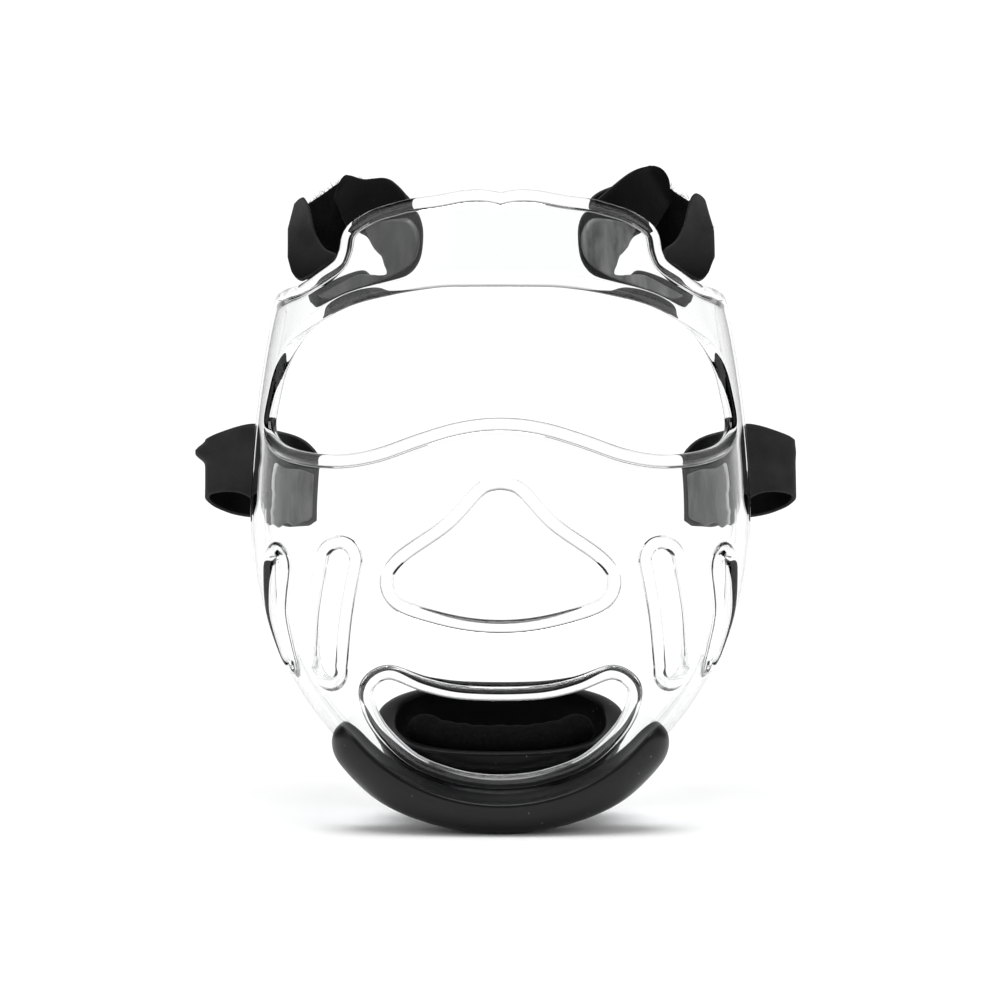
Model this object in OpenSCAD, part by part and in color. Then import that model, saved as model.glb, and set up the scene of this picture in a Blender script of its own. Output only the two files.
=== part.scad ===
// Clear face shield for sparring: one moulded clear shell with a rolled bead along
// every edge, a foam bumper under its chin, a foam chin cup inside it, and four
// hook-and-loop straps bonded to its inner face.
// The shield stands on its chin and leans back. +X is the wearer's left, +Y points
// to the back of the head and +Z is up.

/* [Shell] */
// Half of the shell's width at the cheeks
half_width = 95.5; // [92:0.5:99]
// Height of the tip of the nose above the standing surface
apex_height = 118; // [116:0.5:119]
// Thickness of the clear plastic
wall = 2.4; // [1.8:0.1:2.8]
// Radius of the rolled bead along every edge
bead = 2.6; // [2.2:0.1:2.8]
// Depth of the shell from the nose to its rear rim at the cheeks
side_depth = 82; // [78:1:86]

/* [Openings] */
// Radius of the rounded ends of the cheek slots
slot_end = 7.2; // [6.6:0.2:7.4]
// Height of the bottom of the mouth opening
mouth_floor = 20; // [19:0.5:22]

/* [Foam] */
// Thickness of the chin bumper
bumper_depth = 14; // [11:0.5:16]
// Thickness of the chin cup's foam wall
cup_wall = 7; // [5:0.5:9]
// Radius of the roll that the chin rests on
roll_radius = 6.5; // [5:0.5:7.5]

/* [Straps] */
// Thickness of the hook-and-loop tape
tape = 2; // [1.4:0.1:2.4]
// Width of the tape at the temples
temple_tape = 30; // [24:1:32]
// Thickness of the glue between a part and the shell
glue = 0.4; // [0.2:0.1:0.5]

/* [Hidden] */

apex_back = -58.4;      // Y of the tip of the nose, which centres the part on its origin
crown_rise = 190;       // height from the nose to where the brow would close over the head
chin_drop = apex_height - bead * cos(22.5);   // height from the nose to the rear rim under the chin
crown_depth = 6;        // how much deeper the crown is than the cheeks
chin_depth = 3;         // how much deeper the chin is than the cheeks
lean = 0.2;             // backward lean for each unit of height
first_ring = 0.02;      // where the shell starts, inside the nose vent
sheet_rows = [0, 0.12, 0.22, 0.32, 0.42, 0.51, 0.6, 0.68, 0.76, 0.84, 0.92, 1];    // where its points lie
gap = 0.5;              // clearance between a faceted part and its neighbour
strap_lean = [0, 0.33, 0.944];    // direction across the width of a strap

// The brow's edge from the middle to the temple, as [x, z]
brow_line = [[0, 236.5], [22, 236], [38, 233.5], [50, 229.5], [57.2, 224], [59, 216.5],
    [62, 211], [70, 205.5], [77, 201.8]];
// The rounded corner between the brow's edge and the rear rim, as [angle, reach]
brow_corner = [[26.4, 0.81], [25.5, 0.89], [24.3, 0.955], [22.4, 0.99]];
// Half of the eye opening from its top to its bottom, as [x, z]
eye_line = [[8, 206], [24, 205.6], [41, 203], [59, 198], [74.5, 187.8], [83.2, 174.5],
    [87, 161], [88.4, 150], [85, 143.2], [75.7, 139.5], [61, 138.3], [46.5, 140.6],
    [31, 146], [18, 150], [6, 152]];
// Half of the nose vent from its top to its bottom, as [x, z]
nose_line = [[3, 130.3], [8.5, 127.6], [20, 115.5], [37.4, 103], [42.2, 94.5],
    [38, 86.3], [24, 81.3], [8, 78.4]];
// Half of the mouth opening from its upper lip round to its floor, as [x, z]
mouth_line = [[7, 53.4], [18, 54.2], [29, 56.7], [41, 60.7], [48.3, 57], [49.6, 50.3],
    [44.5, 39.2], [33, 28.2], [20, 22.6], [7, mouth_floor]];
// The centres of each bent cheek slot from its top to its bottom, as [x, z]
slots = [[[60.2, 101.3], [63.4, 82], [64.4, 62.3]], [[84.4, 97], [84.6, 81], [80.8, 65.5]]];

// ---- Curves and the shell's surface ----

function ramp(a) = let (c = min(1, max(0, a))) c * c * (3 - 2 * c);
function mix(a, b, w) = a + (b - a) * w;
function unit(v) = v / norm(v);
function mirror_list(points) = [for (i = [len(points) - 1:-1:0]) [-points[i].x, points[i].y]];

// A smooth curve through the points, with count steps between two of them
function curve(points, count, closed = false) = let (n = len(points))
    [for (i = [0:n - (closed ? 1 : 2)]) for (k = [0:count - 1])
        let (a = points[closed ? (i + n - 1) % n : max(i - 1, 0)], b = points[i],
            c = points[(i + 1) % n], d = points[closed ? (i + 2) % n : min(i + 2, n - 1)],
            u = k / count)
        0.5 * (2 * b + (c - a) * u + (2 * a - 5 * b + 4 * c - d) * u ^ 2
            + (3 * b - a - 3 * c + d) * u ^ 3)];

// The shell is drawn from the nose outwards: an angle round the nose, and a reach
// from 0 at the nose to 1 at the rear rim
function half_height(s) = mix(chin_drop, crown_rise, ramp(s + 0.5));
function full_depth(s) = side_depth + crown_depth * ramp(s) + chin_depth * ramp(-s);
function spread(t, s) = 3 * (1 - t) ^ 2 * t * mix(0.76, 0.8, ramp(-s)) + 3 * (1 - t) * t ^ 2 + t ^ 3;
function sweep_back(t, s) = 3 * (1 - t) * t ^ 2 * mix(0.28, 0.15, ramp(-s)) + t ^ 3;
function mid(angle, t) = let (s = sin(angle), z = half_height(s) * spread(t, s) * s)
    [half_width * spread(t, s) * cos(angle),
    apex_back + full_depth(s) * sweep_back(t, s) + lean * z, apex_height + z];
function outward(angle, t) = unit(cross(mid(angle, t + 0.003) - mid(angle, t - 0.003),
    mid(angle + 0.3, t) - mid(angle - 0.3, t)));
function skin(angle, t, off) = mid(angle, t) + outward(angle, t) * off;

// The angle and the reach of the shell's point that lies behind [x, z]
function angle_at(p, tries = 8, height = 150) = let (a = atan2((p.y - apex_height) / height, p.x / half_width))
    tries == 0 ? a : angle_at(p, tries - 1, half_height(sin(a)));
function reach_for(r, s, low = 0, high = 1, tries = 16) = let (m = (low + high) / 2)
    tries == 0 ? m : spread(m, s) < r ? reach_for(r, s, m, high, tries - 1)
    : reach_for(r, s, low, m, tries - 1);
function reach_at(p) = let (s = sin(angle_at(p)))
    reach_for(norm([p.x / half_width, (p.y - apex_height) / half_height(s)]), s);
function skin_at(p, off) = skin(angle_at(p), reach_at(p), off);

// The whole edge of the shell, clockwise from the middle of the brow, as [angle, reach]
brow_right = [for (p = brow_line) [angle_at(p), reach_at(p)]];
rim_right = [for (a = [20:-10:-90]) [a, 1]];
edge_right = curve([each brow_right, each brow_corner, each rim_right], 2);
edge_line = [each edge_right, [-90, 1],
    for (i = [len(edge_right) - 1:-1:1]) [-180 - edge_right[i].x, edge_right[i].y]];

// ---- Solids from grids of points ----

// A solid sheet between two grids of points that have the same columns and rows.
// A closed one joins its last column to its first, and a floor closes its last row
module sheet(outer, inner, closed = false, floor = false) {
    columns = len(outer);
    rows = len(outer[0]);
    side = columns * rows;
    strips = closed ? columns : columns - 1;
    function at(c, r) = (c % columns) * rows + r;
    front = [for (c = [0:strips - 1]) for (r = [0:rows - 2])
        each [[at(c, r), at(c, r + 1), at(c + 1, r + 1)], [at(c, r), at(c + 1, r + 1), at(c + 1, r)]]];
    back = [for (f = front) [f[2] + side, f[1] + side, f[0] + side]];
    ends = [for (c = [0:strips - 1]) for (r = floor ? [0] : [0, rows - 1])
        let (a = at(c, r), b = at(c + 1, r))
        r == 0 ? [a, b, b + side, a + side] : [b, a, a + side, b + side]];
    sides = closed ? [] : [for (c = [0, columns - 1]) for (r = [0:rows - 2])
        let (a = at(c, r), b = at(c, r + 1))
        c == 0 ? [b, a, a + side, b + side] : [a, b, b + side, a + side]];
    points = [for (column = outer) each column, for (column = inner) each column];
    floors = !floor ? [] : [[for (c = [0:columns - 1]) at(c, rows - 1)],
        [for (c = [columns - 1:-1:0]) at(c, rows - 1) + side]];
    polyhedron(points, [each front, each back, each halves(ends), each halves(sides), each floors]);
}
function halves(faces) = [for (f = faces) each [[f[0], f[1], f[2]], [f[0], f[2], f[3]]]];

// A round bar along a path, with the path's normals to keep it from twisting
module bar(path, normals, radius, sides = 8, closed = true) {
    n = len(path);
    rings = [for (i = [0:n - 1])
        let (along = unit(path[closed ? (i + 1) % n : min(i + 1, n - 1)]
            - path[closed ? (i + n - 1) % n : max(i - 1, 0)]),
            across = unit(cross(along, normals[i])), out = cross(across, along))
        for (k = [0:sides - 1]) let (turn = (k + 0.5) * 360 / sides)
            path[i] + radius * (cos(turn) * out + sin(turn) * across)];
    strips = closed ? n : n - 1;
    skin_faces = [for (i = [0:strips - 1]) for (k = [0:sides - 1])
        let (a = i * sides + k, b = i * sides + (k + 1) % sides,
            c = ((i + 1) % n) * sides + (k + 1) % sides, d = ((i + 1) % n) * sides + k)
        each [[a, c, b], [a, d, c]]];
    caps = closed ? [] : [[for (k = [0:sides - 1]) k], [for (k = [sides - 1:-1:0]) (n - 1) * sides + k]];
    polyhedron(rings, [each skin_faces, each caps]);
}

// The bead round an opening whose outline is given as [x, z]
module bead_round(outline) {
    bar([for (p = outline) skin_at(p, 0)], [for (p = outline) outward(angle_at(p), reach_at(p))], bead);
}

// A plug that cuts an opening square to the shell, from its outline and its middle as [x, z]
module plug(outline, middle) {
    n = len(outline);
    outer = [for (p = outline) skin_at(p, 6)];
    inner = [for (p = outline) skin_at(p, -6)];
    tips = [for (y = [-120, 100]) [middle.x, y, middle.y]];
    walls = [for (i = [0:n - 1]) let (j = (i + 1) % n) [j, i, i + n, j + n]];
    front = [for (i = [0:n - 1]) [i, (i + 1) % n, 2 * n]];
    back = [for (i = [0:n - 1]) [i + n, 2 * n + 1, (i + 1) % n + n]];
    polyhedron([each outer, each inner, each tips], [each front, each back, each halves(walls)]);
}

// A round post that stands square to the shell at [x, z]
module slot_post(p) {
    n = outward(angle_at(p), reach_at(p));
    translate(skin_at(p, 0)) rotate(acos(n.z), cross([0, 0, 1], n))
        cylinder(14, r = slot_end, center = true, $fn = 16);
}
// A cutter for a bent slot, in two straight lengths
module slot_cut(centres, side) {
    for (i = [0, 1])
        hull() for (c = [centres[i], centres[i + 1]]) slot_post([side * c.x, c.y]);
}

// The outline of a bent slot: a half circle round each end, and a point on each side between
function slot_outline(centres, side) = let (
        end = function (c, turn) [for (a = [-72:48:72]) beside(c, turn + a)],
        loop = [each end(centres[0], 90), beside(centres[1], 180),
            each end(centres[2], 270), beside(centres[1], 0)])
    [for (p = loop) [side * p.x, p.y]];
// The point that lies slot_end away from c along the shell, as [x, z]
function beside(c, turn) = let (n = outward(angle_at(c), reach_at(c)), level = unit(cross(n, [0, 0, 1])),
        rise = cross(level, n), p = skin_at(c, 0) + slot_end * (cos(turn) * level + sin(turn) * rise))
    [p.x, p.z];

function both_halves(line) = curve([each line, each mirror_list(line)], 2, closed = true);
eye_outline = both_halves(eye_line);
nose_outline = both_halves(nose_line);
mouth_outline = both_halves(mouth_line);

// ---- Shell ----

module shell_sheet() {
    function grid(off) = [for (e = edge_line) [for (w = sheet_rows) skin(e.x, mix(first_ring, e.y, w), off)]];
    sheet(grid(wall / 2), grid(-wall / 2), closed = true);
}

module face_shell() {
    color([0.9, 0.95, 1, 0.3]) union() {
        difference() {
            shell_sheet();
            plug(eye_outline, [0, 172]);
            plug(nose_outline, [0, 98]);
            plug(mouth_outline, [0, 38]);
            for (centres = slots) for (side = [-1, 1]) slot_cut(centres, side);
        }
        bead_round(eye_outline);
        bead_round(nose_outline);
        bead_round(mouth_outline);
        for (centres = slots) for (side = [-1, 1]) bead_round(slot_outline(centres, side));
        bar([for (e = edge_line) mid(e.x, e.y)], [for (e = edge_line) outward(e.x, e.y)], bead);
    }
}
face_shell();

// ---- Foam ----

// Half of the bumper's span round the chin, and its reach from its top to its bottom
bumper_span = 43;
bumper_from = 0.62;
bumper_to = 0.81;
function bumper_reach(u, w) = mix(bumper_from + 0.06 * u ^ 4, bumper_to, w);
function above_floor(p) = [p.x, p.y, max(0, p.z)];

module chin_bumper() {
    steps = [for (i = [0:22]) 1 - i / 11];
    rows = [for (i = [0:9]) i / 9];
    base = wall / 2 + glue + gap + 0.1;
    function bulge(u, w) = bumper_depth * (1 - abs(u) ^ 3.2) ^ 0.5 * (1 - abs(2 * w - 1) ^ 2.4) ^ 0.5;
    function place(u, w, off) = skin(-90 + bumper_span * u, bumper_reach(u, w), off);
    color([0.05, 0.05, 0.05])
        sheet([for (u = steps) [for (w = rows) above_floor(place(u, w, base + 0.6 + bulge(u, w)))]],
            [for (u = steps) [for (w = rows) place(u, w, base)]]);
}
chin_bumper();

module bumper_glue() {
    steps = [for (i = [0:22]) 1 - i / 11];
    function place(u, w, off) = skin(-90 + bumper_span * 0.91 * u, bumper_reach(0.91 * u, w), off);
    rows = [0.12, 0.37, 0.62, 0.88];
    color([0.5, 0.5, 0.5])
        sheet([for (u = steps) [for (w = rows) place(u, w, wall / 2 + gap + glue)]],
            [for (u = steps) [for (w = rows) place(u, w, wall / 2 + gap)]]);
}
bumper_glue();

// The chin cup is drawn as rings from its rim down to its floor. Each ring is
// [half width, front, back, height at the front, height at the back], where front and
// back are distances behind the tip of the nose
cup_rings = [[47, 5.5, 67, 29, 50], [46, 7.5, 69, 22, 41], [42, 13.5, 69, 17, 30],
    [34, 24, 67, 13, 20], [22, 35, 63, 10, 11.5], [8, 46, 54, 9, 9]];
cup_lifts = [0, 0.3, 0.5, 0.75, 1, 1];    // how far each ring of the hollow is raised, in walls
cup_square = 2.5;    // how square the rings are: 2 is an ellipse

// The point of a ring in one direction, with the ring drawn in by inset and raised by lift
function cup_point(ring, a, inset, lift) = let (
        reach = (abs(cos(a)) ^ cup_square + abs(sin(a)) ^ cup_square) ^ (-1 / cup_square),
        middle = (ring[1] + ring[2]) / 2, half = (ring[2] - ring[1]) / 2,
        back = 0.5 + 0.5 * reach * sin(a))
    [(ring[0] - inset) * reach * cos(a), apex_back + middle + (half - inset) * reach * sin(a),
    mix(ring[3], ring[4], back) + lift];

module chin_cup() {
    turns = [for (i = [0:27]) -i * 360 / 28];
    color([0.06, 0.06, 0.06])
        sheet([for (a = turns) [for (ring = cup_rings) cup_point(ring, a, 0, 0)]],
            [for (a = turns) [for (i = [0:5]) cup_point(cup_rings[i], a, cup_wall * (i < 5 ? 1 : 0.4),
                cup_wall * cup_lifts[i])]], closed = true, floor = true);
}
chin_cup();

module cup_glue() {
    steps = [for (i = [0:8]) 1 - i / 4];
    function place(u, w, off) = skin(-90 + 20 * u, mix(0.7, 0.8, w), off);
    near = -wall / 2 - gap - 0.4;
    color([0.5, 0.5, 0.5])
        sheet([for (u = steps) [for (w = [0, 0.5, 1]) place(u, w, near)]],
            [for (u = steps) [for (w = [0, 0.5, 1]) place(u, w, near - glue)]]);
}
cup_glue();

// The roll round the front of the cup that the chin rests on
module chin_roll() {
    turns = [for (i = [0:14]) 340 - i * 10];
    path = [for (a = turns) cup_point(cup_rings[0], a, cup_wall + roll_radius + 0.6, 3)];
    color([0.04, 0.04, 0.04]) bar(path, [for (a = turns) [0, 0, 1]], roll_radius, sides = 14, closed = false);
}
chin_roll();

// ---- Straps ----

strap_back = bead + 0.9;    // from the middle of the shell to the near face of a bonded strap
// Where the bonded brow strap reaches from and to, as [x, lowest, highest]
brow_bond = [[36, 203, 242], [43, 200, 247], [50, 197, 247], [56.5, 194.5, 245], [58.5, 194, 212],
    [64, 193.5, 206], [70, 194, 202.5], [76, 196.5, 199.5]];
// Where the glue under it reaches from and to, clear of both beads
brow_stick = [[38, 208, 229], [45, 206.5, 226.5], [52, 204, 223], [56, 203, 219], [60, 200, 208.5],
    [66, 196.5, 203], [72, 193, 199.5]];
// The folded part of the brow strap seen from above, as [x, distance behind the tip of
// the nose, lowest, highest]
brow_fold = [for (i = [0:8]) let (a = 180 - i * 21.5)
    [58.3 + 23.3 * cos(a), 56.4 + 15 * cos(a) + 13.5 * sin(a), -20, 20 - 0.6 * i]];
// The free end of the brow strap
brow_end = [[80.6, 67, -16, 13], [75.5, 61, -14, 12], [69, 54.4, -10, 11], [61, 46.6, -4, 10]];
brow_level = 226;
// The loop of the temple strap, and its free end, as [x, distance behind the tip of the nose]
temple_loop = [[91, 96], [94, 99], [102, 100.4], [111, 102.8], [116.4, 108.4], [115.2, 116.2], [108, 121.2]];
temple_end = [[105.2, 121.8], [96, 119.4], [92.2, 112.6], [93.4, 104.6]];
temple_level = 131;

// A strap standing on edge, from its path seen from above
module tape_wall(path, level, side) {
    n = len(path);
    function across(i) = let (a = path[min(i + 1, n - 1)] - path[max(i - 1, 0)]) unit([a.y, -a.x, 0]);
    function place(i, w, off) = let (p = path[i])
        [p.x, apex_back + p.y, level] + off * across(i) + mix(p[2], p[3], w) * strap_lean;
    function grid(off) = [for (i = [0:n - 1]) [for (w = [0, 0.5, 1]) place(i, w, off)]];
    mirror([side < 0 ? 1 : 0, 0, 0]) sheet(grid(tape / 2), grid(-tape / 2));
}

module brow_glue(side) {
    function grid(off) = [for (b = brow_stick) [for (w = [0, 0.5, 1]) skin_at([b.x, mix(b.y, b[2], w)], off)]];
    color([0.5, 0.5, 0.5]) mirror([side < 0 ? 1 : 0, 0, 0])
        sheet(grid(-wall / 2 - gap), grid(0.3 - strap_back));
}

// The strap follows the inside of the brow, then rises past its edge
function brow_point(x, z, off) = let (edge = lookup(x, brow_line) - 4)
    skin_at([x, min(z, edge)], off) + max(0, z - edge) * [0, 0.35, 1];
module brow_anchor(side) {
    rows = [for (i = [0:5]) i / 5];
    function grid(off) = [for (b = brow_bond) [for (w = rows) brow_point(b.x, mix(b.y, b[2], w), off)]];
    color([0.09, 0.09, 0.09]) mirror([side < 0 ? 1 : 0, 0, 0])
        sheet(grid(-strap_back), grid(-strap_back - tape));
}

module temple_glue(side) {
    function grid(off) = [for (t = [0.45, 0.54, 0.63, 0.72, 0.8]) [for (a = [-1, 3, 7]) skin(a, t, off)]];
    color([0.5, 0.5, 0.5]) mirror([side < 0 ? 1 : 0, 0, 0])
        sheet(grid(-wall / 2 - gap), grid(0.3 - strap_back));
}

// The strap follows the inside of the cheek, passes inside the rim's bead and ends behind it
module temple_anchor(side) {
    reaches = [0.43, 0.52, 0.61, 0.7, 0.79, 0.87, 0.94, 1];
    past_rim = 7.5;
    function clear(t) = strap_back + (bead + 0.5 - strap_back) * ramp((t - 0.78) / 0.16);
    function column(t, back, off) = [for (a = [-2, 1.2, 4.5, 7.8, 11]) skin(a, t, -clear(t) - off) + [0, back, 0]];
    function grid(off) = [for (t = reaches) column(t, 0, off), column(1, past_rim, off)];
    color([0.09, 0.09, 0.09]) mirror([side < 0 ? 1 : 0, 0, 0]) sheet(grid(0), grid(tape));
}

module brow_strap(side) { color([0.08, 0.08, 0.08]) tape_wall(brow_fold, brow_level, side); }
module brow_tail(side) { color([0.1, 0.1, 0.1]) tape_wall(brow_end, brow_level, side); }
function on_edge(path) = [for (p = path) [p.x, p.y, -temple_tape / 2, temple_tape / 2]];
module temple_strap(side) { color([0.08, 0.08, 0.08]) tape_wall(on_edge(temple_loop), temple_level, side); }
module temple_tail(side) { color([0.1, 0.1, 0.1]) tape_wall(on_edge(temple_end), temple_level, side); }

brow_glue(1);  // left_brow_glue
brow_anchor(1);  // left_brow_anchor
brow_strap(1);  // left_brow_strap
brow_tail(1);  // left_brow_tail
temple_glue(1);  // left_temple_glue
temple_anchor(1);  // left_temple_anchor
temple_strap(1);  // left_temple_strap
temple_tail(1);  // left_temple_tail
brow_glue(-1);  // right_brow_glue
brow_anchor(-1);  // right_brow_anchor
brow_strap(-1);  // right_brow_strap
brow_tail(-1);  // right_brow_tail
temple_glue(-1);  // right_temple_glue
temple_anchor(-1);  // right_temple_anchor
temple_strap(-1);  // right_temple_strap
temple_tail(-1);  // right_temple_tail
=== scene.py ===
"""Clear sparring face shield with foam chin parts and hook-and-loop straps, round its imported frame."""

import math

import bmesh
import bpy
import numpy as np
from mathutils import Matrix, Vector
from mathutils.geometry import delaunay_2d_cdt


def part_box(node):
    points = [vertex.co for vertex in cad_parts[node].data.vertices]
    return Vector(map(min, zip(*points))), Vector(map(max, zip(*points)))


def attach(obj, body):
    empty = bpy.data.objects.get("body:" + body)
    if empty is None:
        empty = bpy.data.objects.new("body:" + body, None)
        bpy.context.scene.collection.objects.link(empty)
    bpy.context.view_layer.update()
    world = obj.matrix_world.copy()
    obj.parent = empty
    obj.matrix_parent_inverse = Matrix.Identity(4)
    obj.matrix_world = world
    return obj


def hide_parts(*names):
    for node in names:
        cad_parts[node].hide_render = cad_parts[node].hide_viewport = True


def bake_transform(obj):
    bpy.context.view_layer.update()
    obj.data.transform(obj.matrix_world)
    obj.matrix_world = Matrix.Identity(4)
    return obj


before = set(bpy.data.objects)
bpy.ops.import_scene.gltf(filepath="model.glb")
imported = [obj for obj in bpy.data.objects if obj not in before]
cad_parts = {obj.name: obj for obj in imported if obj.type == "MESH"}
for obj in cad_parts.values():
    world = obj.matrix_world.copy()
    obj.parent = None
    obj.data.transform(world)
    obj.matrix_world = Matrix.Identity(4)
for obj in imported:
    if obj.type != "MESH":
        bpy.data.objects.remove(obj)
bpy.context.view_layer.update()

# ---- Sizes, in metres ----

MM = 0.001
BEAD = 2.6 * MM            # radius of the rolled bead along every edge
WALL = 2.4 * MM            # thickness of the clear plastic
TAPE = 1.9 * MM            # thickness of the hook-and-loop tape
APEX_HEIGHT = 118 * MM     # height of the tip of the nose
SIDE_DEPTH = 82 * MM       # from the nose to the rear rim at the cheeks
CROWN_RISE = 190 * MM      # from the nose to where the brow would close over the head
CROWN_DEPTH = 6 * MM       # how much deeper the crown is than the cheeks
CHIN_DEPTH = 3 * MM        # how much deeper the chin is than the cheeks
LEAN = 0.2                 # backward lean for each unit of height
SLOT_END = 7.2 * MM        # radius of the rounded ends of the cheek slots

_, shell_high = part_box("face_shell")
EIGHTH = math.cos(math.radians(22.5))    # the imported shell's beads have eight sides
HALF_WIDTH = shell_high.x - BEAD * EIGHTH
CHIN_DROP = APEX_HEIGHT - BEAD * EIGHTH
APEX_BACK = -58.4 * MM     # where the middle of the wall at the nose lies, front to back

# Outlines seen from the front, as [x, z] in millimetres, on the wearer's left
BROW_LINE = [[0, 236.5], [22, 236], [38, 233.5], [50, 229.5], [57.2, 224], [59, 216.5],
             [62, 211], [70, 205.5], [77, 201.8]]
BROW_CORNER = [[26.4, 0.81], [25.5, 0.89], [24.3, 0.955], [22.4, 0.99]]    # as [angle, reach]
EYE_LINE = [[8, 206], [24, 205.6], [41, 203], [59, 198], [74.5, 187.8], [83.2, 174.5],
            [87, 161], [88.4, 150], [85, 143.2], [75.7, 139.5], [61, 138.3], [46.5, 140.6],
            [31, 146], [18, 150], [6, 152]]
NOSE_LINE = [[3, 130.3], [8.5, 127.6], [20, 115.5], [37.4, 103], [42.2, 94.5],
             [38, 86.3], [24, 81.3], [8, 78.4]]
MOUTH_LINE = [[7, 53.4], [18, 54.2], [29, 56.7], [41, 60.7], [48.3, 57], [49.6, 50.3],
              [44.5, 39.2], [33, 28.2], [20, 22.6], [7, 20]]
SLOTS = [[[60.2, 101.3], [63.4, 82], [64.4, 62.3]], [[84.4, 97], [84.6, 81], [80.8, 65.5]]]


# ---- Curves ----

def ramp(a):
    c = np.clip(a, 0, 1)
    return c * c * (3 - 2 * c)


def mix(a, b, w):
    return a + (b - a) * w


def unit(v):
    return v / np.linalg.norm(v, axis=-1, keepdims=True)


def smooth_curve(points, count, closed=False):
    """A smooth curve through the points, with count steps between two of them."""
    p = np.array(points, float)
    n = len(p)
    out = []
    for i in range(n if closed else n - 1):
        a, b = p[i - 1] if closed or i else p[0], p[i]
        c = p[(i + 1) % n]
        d = p[(i + 2) % n] if closed else p[min(i + 2, n - 1)]
        for u in np.arange(count) / count:
            out.append(0.5 * (2 * b + (c - a) * u + (2 * a - 5 * b + 4 * c - d) * u ** 2
                              + (3 * b - a - 3 * c + d) * u ** 3))
    if not closed:
        out.append(p[-1])
    return np.array(out)


def evenly(points, step):
    """How far round a closed line new points about step apart lie, and how far round its own points lie."""
    line = np.vstack([points, points[:1]])
    along = np.concatenate([[0], np.cumsum(np.linalg.norm(np.diff(line, axis=0), axis=1))])
    return np.linspace(0, along[-1], max(8, round(along[-1] / step)), endpoint=False), along


# ---- The shell's surface, drawn from the nose outwards by angle and reach ----

def half_height(s):
    return mix(CHIN_DROP, CROWN_RISE, ramp(s + 0.5))


def spread(t, s):
    return 3 * (1 - t) ** 2 * t * mix(0.76, 0.8, ramp(-s)) + 3 * (1 - t) * t ** 2 + t ** 3


def mid(angle, t):
    """The middle of the shell's wall, at an angle round the nose in radians and a reach from 0 to 1."""
    s = np.sin(angle)
    z = half_height(s) * spread(t, s) * s
    depth = SIDE_DEPTH + CROWN_DEPTH * ramp(s) + CHIN_DEPTH * ramp(-s)
    back = 3 * (1 - t) * t ** 2 * mix(0.28, 0.15, ramp(-s)) + t ** 3
    return np.stack([HALF_WIDTH * spread(t, s) * np.cos(angle), APEX_BACK + depth * back + LEAN * z,
                     APEX_HEIGHT + z], axis=-1)


def outward(angle, t):
    """The shell's outward normal."""
    turn = math.radians(0.3)
    return unit(np.cross(mid(angle, t + 0.003) - mid(angle, t - 0.003),
                         mid(angle + turn, t) - mid(angle - turn, t)))


def skin(angle, t, off):
    """The points that lie off the middle of the shell's wall, outwards, at these angles and reaches."""
    return mid(angle, t) + outward(angle, t) * np.asarray(off)[..., None]


def polar(xz):
    """The angle and reach of the shell's points that lie behind [x, z]."""
    p = np.atleast_2d(np.array(xz, float))
    height = np.full(len(p), 0.15)
    for _ in range(24):
        angle = np.arctan2((p[:, 1] - APEX_HEIGHT) / height, p[:, 0] / HALF_WIDTH)
        height = half_height(np.sin(angle))
    s = np.sin(angle)
    r = np.hypot(p[:, 0] / HALF_WIDTH, (p[:, 1] - APEX_HEIGHT) / height)
    low, high = np.zeros(len(p)), np.ones(len(p))
    for _ in range(30):
        m = (low + high) / 2
        less = spread(m, s) < r
        low, high = np.where(less, m, low), np.where(less, high, m)
    return angle, (low + high) / 2


def disc(angle, t):
    """Angle and reach as a place on a flat disc, where the shell's outlines are drawn."""
    return np.stack([t * np.cos(angle), t * np.sin(angle)], axis=-1)


def from_disc(uv):
    return np.arctan2(uv[..., 1], uv[..., 0]), np.hypot(uv[..., 0], uv[..., 1])


def surface(uv):
    return mid(*from_disc(uv))


def surface_normal(uv):
    return outward(*from_disc(uv))


def stepped(uv, move):
    """The disc places reached by stepping along the surface by move, a vector in metres."""
    start, h = surface(uv), 1e-4
    here = uv.copy()
    for _ in range(3):
        du = (surface(here + [h, 0]) - surface(here - [h, 0])) / (2 * h)
        dv = (surface(here + [0, h]) - surface(here - [0, h])) / (2 * h)
        rest = start + move - surface(here)
        a, b, c = (du * du).sum(1), (du * dv).sum(1), (dv * dv).sum(1)
        p, q = (du * rest).sum(1), (dv * rest).sum(1)
        det = a * c - b * b
        here = here + np.stack([(c * p - b * q) / det, (a * q - b * p) / det], axis=1)
    return here


def beside(centre, turn):
    """The point that lies SLOT_END away from a slot's centre along the shell, as [x, z]."""
    angle, t = polar(centre)
    n = outward(angle, t)[0]
    level = unit(np.cross(n, [0, 0, 1]))
    rise = np.cross(level, n)
    p = mid(angle, t)[0] + SLOT_END * (math.cos(turn) * level + math.sin(turn) * rise)
    return [p[0], p[2]]


def slot_line(centres):
    """The outline of a bent slot with round ends, as [x, z] in metres."""
    spine = smooth_curve(np.array(centres) * MM, 6)
    quarter = math.pi / 2
    ends = np.linspace(-quarter, quarter, 13)
    top = [beside(spine[0], quarter + a) for a in ends]
    left = [beside(c, 2 * quarter) for c in spine[1:-1]]
    foot = [beside(spine[-1], 3 * quarter + a) for a in ends]
    right = [beside(c, 0) for c in spine[-2:0:-1]]
    return np.array(top + left + foot + right)


def both_halves(line):
    """The closed outline of an opening in metres, from its half in millimetres."""
    line = np.array(line, float) * MM
    other = line[::-1] * [-1, 1]
    return smooth_curve(np.vstack([line, other]), 24, closed=True)


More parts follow.
